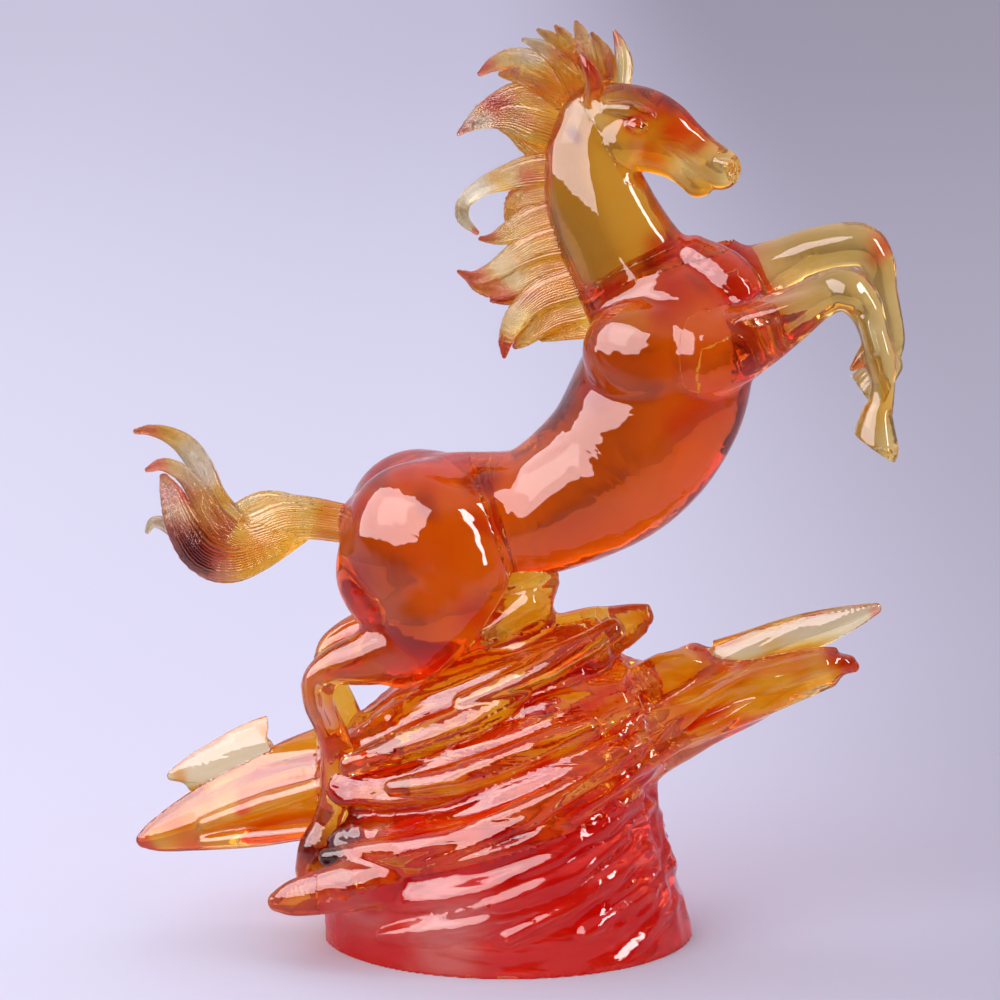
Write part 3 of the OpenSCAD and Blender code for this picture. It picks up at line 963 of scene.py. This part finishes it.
neck_seat = ((20, 210), (62, 222))
loin_seat = ((0, 122), (-13, 160))
honey = (0.84, 0.43, 0.045)
amber = (0.90, 0.36, 0.015)
orange = (0.85, 0.14, 0.002)
deep_orange = (0.80, 0.055, 0.002)
scarlet = (0.85, 0.025, 0.006)
ruby = (0.62, 0.010, 0.003)
maroon = (0.25, 0.002, 0.012)
body_glass = glass("barrel_orange", 0.88, (34, 34, 34), 0.0, 0.12, 1.7)
cast("barrel", horse, all_of(right_of(*neck_seat), right_of(*loin_seat),
                             nearer("barrel", "right_foreleg"), nearer("barrel", "left_foreleg")),
     ((-20, -40, 108), (90, 40, 232)), 1.0, body_glass, orange,
     [(62, -20, 222, 12, deep_orange), (76, -10, 205, 14, scarlet), (78, -12, 190, 10, ruby),
      (18, 0, 178, 9, maroon), (12, 0, 192, 8, maroon), (70, 8, 222, 14, ruby),
      (4, 0, 118, 10, deep_orange), (30, 0, 214, 8, ruby), (64, -16, 196, 10, orange),
      (12, -6, 177, 5, maroon), (4, -5, 167, 4, maroon), (20, -5, 194, 6, maroon),
      (46, -12, 222, 6, ruby), (59, -19, 215, 5, maroon), (68, -22, 207, 6, ruby),
      (72, -20, 196, 5, maroon), (-7, -18, 154, 4, maroon), (-5, -20, 140, 4, ruby),
      (40, -22, 206, 5, amber), (60, -22, 178, 8, deep_orange), (28, -14, 180, 6, ruby),
      (56, -18, 174, 6, scarlet), (50, -14, 210, 7, ruby)])


# ---- Hindquarters ----
# Rump and both thighs in one orange casting, redder over the croup. It is
# ground at the loin, and the hind legs are fused into its thighs.
cast("hindquarters", horse, all_of(left_of(*loin_seat), nearer("hindquarters", "right_hind_leg"),
                                   nearer("hindquarters", "left_hind_leg")),
     ((-62, -40, 78), (10, 40, 168)), 0.95, body_glass, orange,
     [(-20, 0, 156, 10, scarlet), (-40, 0, 148, 10, ruby), (-4, -10, 150, 7, ruby),
      (-2, -10, 128, 6, scarlet), (-52, 0, 135, 7, scarlet), (-30, -10, 104, 9, deep_orange),
      (-46, -16, 122, 6, ruby), (-12, -18, 112, 7, ruby), (-41, -12, 154, 6, maroon),
      (-31, -12, 157, 5, ruby), (-26, -18, 148, 5, maroon), (-47, -14, 144, 5, ruby),
      (-36, -16, 147, 4, amber), (-10, -16, 152, 4, maroon), (-9, -20, 138, 4, ruby)])


# ---- Neck ----
# A flat honey-coloured casting, with red drawn up into it from the chest.
poll_seat = ((18, 278), (36, 246))
throat_seat = ((30, 247), (60, 236))
head_ground = all_of(left_of(*poll_seat), left_of(*throat_seat))
neck_glass = glass("neck_honey", 0.84, (40, 40, 30), 0.2, 0.15, 0.3)
cast("neck", horse, all_of(left_of(*neck_seat), outside(head_ground)), ((0, -32, 200), (80, 32, 288)),
     0.8, neck_glass, honey, [(56, 0, 218, 9, ruby), (44, 0, 214, 7, scarlet),
                              (28, 0, 212, 6, deep_orange), (66, 0, 222, 9, ruby),
                              (60, 0, 232, 4, scarlet), (17, 0, 214, 5, ruby), (11, 0, 240, 2.5, ruby),
                              (20, -9, 262, 2.5, maroon), (34, -12, 212, 4, ruby),
                              (50, -10, 222, 6, ruby), (57, -8, 226, 6, scarlet),
                              (44, -11, 218, 4, maroon), (62, -6, 220, 5, maroon)])


# ---- Head ----
# Amber with a dark red brow and a pale muzzle. Eyes, nostrils and lips are cut
# in the wax and melt soft in the kiln.
gold = (0.94, 0.50, 0.045)
pale_gold = (0.95, 0.72, 0.25)
rose = (0.90, 0.40, 0.33)
head_glass = glass("head_amber", 0.88, (70, 90, 90), 0.5, 0.35, 0.3)
cast("head", horse, head_ground, ((10, -20, 230), (82, 20, 284)), 0.5, head_glass, amber,
     [(38, 0, 274, 7, maroon), (46, 0, 270, 6, ruby), (54, 0, 266, 5, scarlet),
      (30, -8, 264, 7, pale_gold), (60, 0, 262, 6, orange), (70, 0, 248, 7, pale_gold),
      (58, -5, 250, 6, pale_gold), (35, -8, 256, 6, pale_gold), (39, -8, 262, 2.5, scarlet),
      (52, -5, 262, 5, scarlet), (66, -4, 242, 5, gold), (46, -8, 252, 4, orange),
      (48, -5, 271, 3.5, maroon), (42, -7, 266, 3, ruby), (58, -5, 258, 3, ruby), (41, -8, 254, 3, rose)])


# ---- Ears ----
# Two hollowed leaves, pinched up from the poll and touched with red.
def not_in(*forms):
    """Ground away wherever one of the forms already stands."""
    return lambda p: -np.min([f(p) for f in forms], 0)


ear_glass = glass("ear_gold", 0.92, (60, 60, 60), 0.0, 0.2, 0.2)
cast("right_ear", hair["right_ear"], not_in(horse), hair_room["right_ear"], 0.45, ear_glass, gold,
     [(22, -9, 284, 5, scarlet)])
cast("left_ear", hair["left_ear"], not_in(horse), hair_room["left_ear"], 0.45, ear_glass, pale_gold,
     [(33, 8, 290, 4, scarlet)])


# ---- Forelock and mane ----
# Six clumps in gold glass, tipped with red and clear, fused along the crest.
def combing_of(name):
    paths = [smooth_run(stations, 4) for stations in hair_locks[name]]

    def comb(points):
        best = np.full(len(points), 1e3)
        line = np.zeros(len(points))
        for path in paths:
            across = comb_place(points, path)
            d = np.full(len(points), 1e3)
            for s in path[::2]:
                d = np.minimum(d, np.linalg.norm((points - s[:3]) * (1, 1.6, 1), axis=1) - s[3])
            nearer_one = d < best
            best = np.where(nearer_one, d, best)
            line = np.where(nearer_one, across * 44 + 3 * np.sin(4 * across), line)
        return line
    return comb


clear = (0.96, 0.88, 0.62)
flaxen = (0.97, 0.58, 0.06)
garnet = (0.50, 0.06, 0.06)
hair_glass = glass("hair_gold", 0.93, (60, 90, 90), 0.3, 0.5, 0.6, True)
mane_frits = {
    "forelock": [(38, -4, 272, 5, scarlet), (26, 1, 290, 5, orange), (24, -7, 274, 4, amber)],
    "mane_crown": [(-8, 0, 279, 6, scarlet), (0, 0, 283, 5, pale_gold), (5, 0, 289, 6, clear),
                   (20, 0, 292, 5, amber), (22, 0, 274, 6, amber), (12, 0, 276, 5, amber)],
    "mane_upper": [(-15, 0, 259, 5, rose), (-6, 2, 268, 5, scarlet), (14, 0, 258, 7, amber),
                   (0, 0, 266, 5, pale_gold), (12, 0, 270, 5, amber), (-9, 0, 262, 4, clear)],
    "mane_curl": [(-13, 0, 240, 7, clear), (-12, 0, 229, 5, clear), (12, 0, 238, 8, amber),
                  (2, 0, 248, 5, pale_gold), (-6, 0, 226, 4, scarlet), (8, 0, 246, 4, orange)],
    "mane_lower": [(-14, 0, 215, 6, scarlet), (-5, 0, 208, 5, orange), (14, 0, 218, 7, amber),
                   (0, 0, 216, 5, pale_gold)],
    "mane_base": [(-1, 0, 190, 5, scarlet), (16, 0, 206, 7, amber), (4, 0, 200, 4, pale_gold)],
}
set_hair = [hair["right_ear"], hair["left_ear"]]
for clump, drops in mane_frits.items():
    cast(clump, hair[clump], not_in(horse, *set_hair), hair_room[clump], 0.5, hair_glass, flaxen, drops,
         1.6, combing_of(clump))
    set_hair.append(hair[clump])


# ---- Tail ----
# A smooth amber dock that opens into locks, some clear, with a garnet heart.
cast("tail", hair["tail"], not_in(horse), hair_room["tail"], 0.55, hair_glass, flaxen,
     [(-103, -5, 128, 12, garnet), (-100, -5, 122, 11, garnet), (-92, -4, 126, 6, rose),
      (-106, -4, 146, 6, rose), (-115, 2, 165, 6, orange), (-114, -5, 154, 5, scarlet),
      (-98, 5, 154, 8, clear), (-112, 6, 133, 7, clear), (-66, 2, 142, 7, pale_gold),
      (-84, 5, 139, 6, pale_gold), (-56, 0, 133, 7, amber), (-80, -2, 126, 6, amber),
      (-104, -2, 140, 5, clear)], 1.6, combing_of("tail"))


# ---- Legs ----
# Four castings, clear olive at the knees and running to red where they fuse
# into the body. Knees, tendons, ergots and hooves are carved in the wax.
olive = (0.82, 0.57, 0.17)
pale_honey = (0.90, 0.66, 0.20)
fore_glass = glass("foreleg_olive", 0.90, (60, 60, 60), 0.3, 0.2, 0.35)
cast("right_foreleg", horse, nearer("right_foreleg", "barrel"), ((42, -36, 150), (134, 8, 228)), 0.7,
     fore_glass, olive, [(54, -16, 190, 30, orange), (56, -16, 196, 26, orange),
                         (60, -20, 188, 16, orange), (74, -18, 187, 9, scarlet),
                         (78, -18, 204, 5, rose), (84, -16, 191, 6, scarlet), (92, -14, 202, 4, rose),
                         (116, -13, 176, 5, gold), (113, -16, 166, 4, amber),
                         (107, -13, 190, 4, orange), (112, -13, 200, 4, pale_gold),
                         (66, -22, 198, 7, deep_orange)])
cast("left_foreleg", horse, nearer("left_foreleg", "barrel"), ((44, -8, 160), (134, 34, 238)), 0.7,
     fore_glass, olive, [(64, 10, 206, 18, ruby), (66, 10, 208, 16, ruby), (78, 10, 206, 7, scarlet),
                         (82, 12, 216, 6, pale_honey), (118, 13, 220, 4, scarlet)])
hind_glass = glass("hind_leg_amber", 0.88, (70, 70, 50), 0.3, 0.3, 0.35)
cast("right_hind_leg", horse, nearer("right_hind_leg", "hindquarters"), ((-76, -34, 15), (-6, 4, 122)),
     0.7, hind_glass, amber, [(-36, -16, 94, 7, rose), (-52, -13, 95, 5, ruby), (-60, -14, 88, 4, rose),
                              (-61, -14, 76, 5, rose), (-58, -17, 62, 5, rose),
                              (-52, -13, 56, 4, amber), (-60, -13, 32, 7, maroon),
                              (-54, -13, 44, 5, gold), (-50, -14, 88, 5, pale_gold),
                              (-30, -16, 104, 7, orange)])
cast("left_hind_leg", horse, nearer("left_hind_leg", "hindquarters"), ((-74, -4, 15), (-4, 34, 126)),
     0.7, hind_glass, gold, [(-50, 13, 94, 7, scarlet), (-49, 13, 60, 7, amber),
                             (-60, 13, 88, 4, pale_gold)])


# ---- Rock ----
# Ten castings: the ruby pedestal, the orange body and amber crest above it, and
# the shards and blades that are fused on. All are cut from one wax.
rock_seat = ((-60, 22), (44, 52))
crest_seat = ((-60, 64), (40, 86))
left_seat = ((-59, 10), (-62.5, 80))
wing_seat = ((56, 40), (38, 92))
spike_face = ((36, 84), (20, 112))
spike_floor = ((20, 92), (60, 98))
post_seat = ((-34, 98), (24, 104))
crimson = (0.86, 0.03, 0.015)
marigold = (0.93, 0.34, 0.015)
rock_tilt = math.radians(18)
spike_ground = all_of(lambda p: side_of(p, *spike_face), left_of(*spike_floor))


def fin_of(wing):
    """Ground to the seam between a wing and the fin that stands on it."""
    return lambda p: (rock_arms[wing + "_fin"][0](p) - np.minimum(rock_arms[wing][0](p), 15)) / 2




pedestal_glass = glass("pedestal_crimson", 0.60, (18, 60, 90), rock_tilt, 0.35, 0.7)
# The two rose drops low on the pedestal's left front are a painted pink reflection.
cast("pedestal", rock, all_of(right_of(*rock_seat), lambda p: side_of(p, *left_seat)),
     ((-66, -54, -2), (64, 54, 62)), 1.1, pedestal_glass, crimson,
     [(-50, -26, 22, 12, rose), (-56, 0, 36, 10, maroon), (44, 0, 30, 14, scarlet),
      (0, -40, 40, 9, ruby), (-30, -40, 34, 8, ruby), (20, -40, 10, 12, scarlet),
      (-20, -46, 12, 12, rose)], 1.5)
rock_glass = glass("rock_orange", 0.88, (20, 110, 150), rock_tilt, 0.6, 0.45)
cast("front_spike", rock, lambda p: -side_of(p, *left_seat), ((-80, -48, 8), (-54, -18, 46)), 0.6,
     rock_glass, deep_orange, [(-74, -31, 18, 6, amber), (-66, -32, 22, 5, gold),
                               (-58, -36, 26, 5, orange)], 1.3)
body_ground = all_of(left_of(*rock_seat), right_of(*crest_seat), lambda p: side_of(p, *left_seat),
                     lambda p: -side_of(p, *wing_seat), not_in(horse))
cast("rock_body", rock, body_ground, ((-70, -56, 14), (64, 56, 100)), 1.0, rock_glass, marigold,
     [(-46, -24, 62, 15, amber), (-24, -30, 66, 13, amber), (30, -36, 48, 9, scarlet),
      (48, -20, 56, 7, scarlet), (-58, -20, 38, 9, maroon), (-30, -38, 42, 8, deep_orange),
      (0, -40, 44, 7, ruby), (10, -34, 62, 5, scarlet), (-10, -36, 56, 6, orange),
      (34, -28, 76, 7, gold), (20, -30, 74, 6, amber), (38, -26, 64, 7, amber),
      (-36, -34, 52, 7, gold)], 1.6)
crest_glass = glass("crest_amber", 0.90, (22, 100, 130), rock_tilt, 0.5, 0.4)
crest_ground = all_of(left_of(*crest_seat), lambda p: side_of(p, *left_seat),
                      lambda p: -side_of(p, *wing_seat), outside(spike_ground), right_of(*post_seat),
                      not_in(horse))
cast("rock_crest", rock, crest_ground, ((-70, -52, 56), (52, 52, 114)), 0.95, crest_glass, gold,
     [(-6, -20, 96, 9, gold), (20, -20, 96, 7, orange), (-44, -20, 70, 11, gold),
      (10, -24, 84, 6, deep_orange), (32, -14, 84, 7, orange), (-24, -26, 80, 6, amber),
      (-10, -24, 88, 5, gold)], 1.3)
cast("upper_spike", rock, all_of(spike_ground, not_in(horse)), ((12, -22, 82), (52, 22, 116)), 0.6,
     crest_glass, amber, [(45, 0, 104, 4, ruby), (32, -6, 103, 5, pale_gold), (24, -8, 98, 6, orange)], 1.3)
cast("belly_post", rock, all_of(left_of(*post_seat), outside(spike_ground), not_in(horse)),
     ((-36, -26, 92), (30, 26, 142)), 0.7, crest_glass, gold,
     [(4, -8, 102, 6, amber), (10, 0, 118, 6, pale_gold), (-14, -10, 100, 5, orange)], 1.3)
straw = (0.95, 0.76, 0.40)
blade_glass = glass("blade_gold", 0.93, (18, 80, 90), rock_tilt + 0.15, 0.4, 0.3)
cast("left_wing", rock, all_of(lambda p: -side_of(p, *left_seat), left_of(*rock_seat),
                               outside(fin_of("left_wing")), not_in(horse)),
     ((-124, -15, 16), (-54, 23, 77)), 0.7, blade_glass, amber,
     [(-74, -6, 38, 11, amber), (-100, -2, 27, 6, orange), (-118, 4, 29, 4, scarlet),
      (-84, -8, 44, 4, scarlet), (-66, -6, 56, 6, amber), (-90, 0, 46, 5, pale_gold)], 1.5)
cast("left_wing_fin", rock, all_of(fin_of("left_wing"), lambda p: -side_of(p, *left_seat)),
     ((-118, -2, 40), (-66, 14, 80)), 0.5, blade_glass, straw,
     [(-106, 7, 51, 3, amber), (-77, 7, 66, 3, amber)], 1.5)
cast("right_wing", rock, all_of(lambda p: side_of(p, *wing_seat), left_of(*rock_seat),
                                outside(spike_ground), outside(fin_of("right_wing")), not_in(horse)),
     ((28, -34, 44), (118, 34, 106)), 0.7, crest_glass, amber,
     [(46, -20, 62, 9, scarlet), (52, -16, 72, 6, orange), (84, -6, 82, 8, gold), (111, 0, 88, 4, ruby),
      (106, 0, 93, 3, ruby), (66, -8, 74, 7, orange), (98, -4, 88, 6, pale_gold), (62, 2, 91, 4, ruby),
      (58, -8, 80, 5, gold), (76, -8, 70, 6, orange)], 1.5)
cast("right_wing_fin", rock, fin_of("right_wing"), ((58, -6, 74), (124, 14, 116)), 0.5, blade_glass, straw,
     [(118, 5, 106, 3, scarlet), (67, 5, 88, 2.5, ruby), (84, 3, 90, 5, gold)], 1.5)

glass_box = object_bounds()
[[list(map(float, corner)) for corner in box] for box in (cad_box, glass_box)]
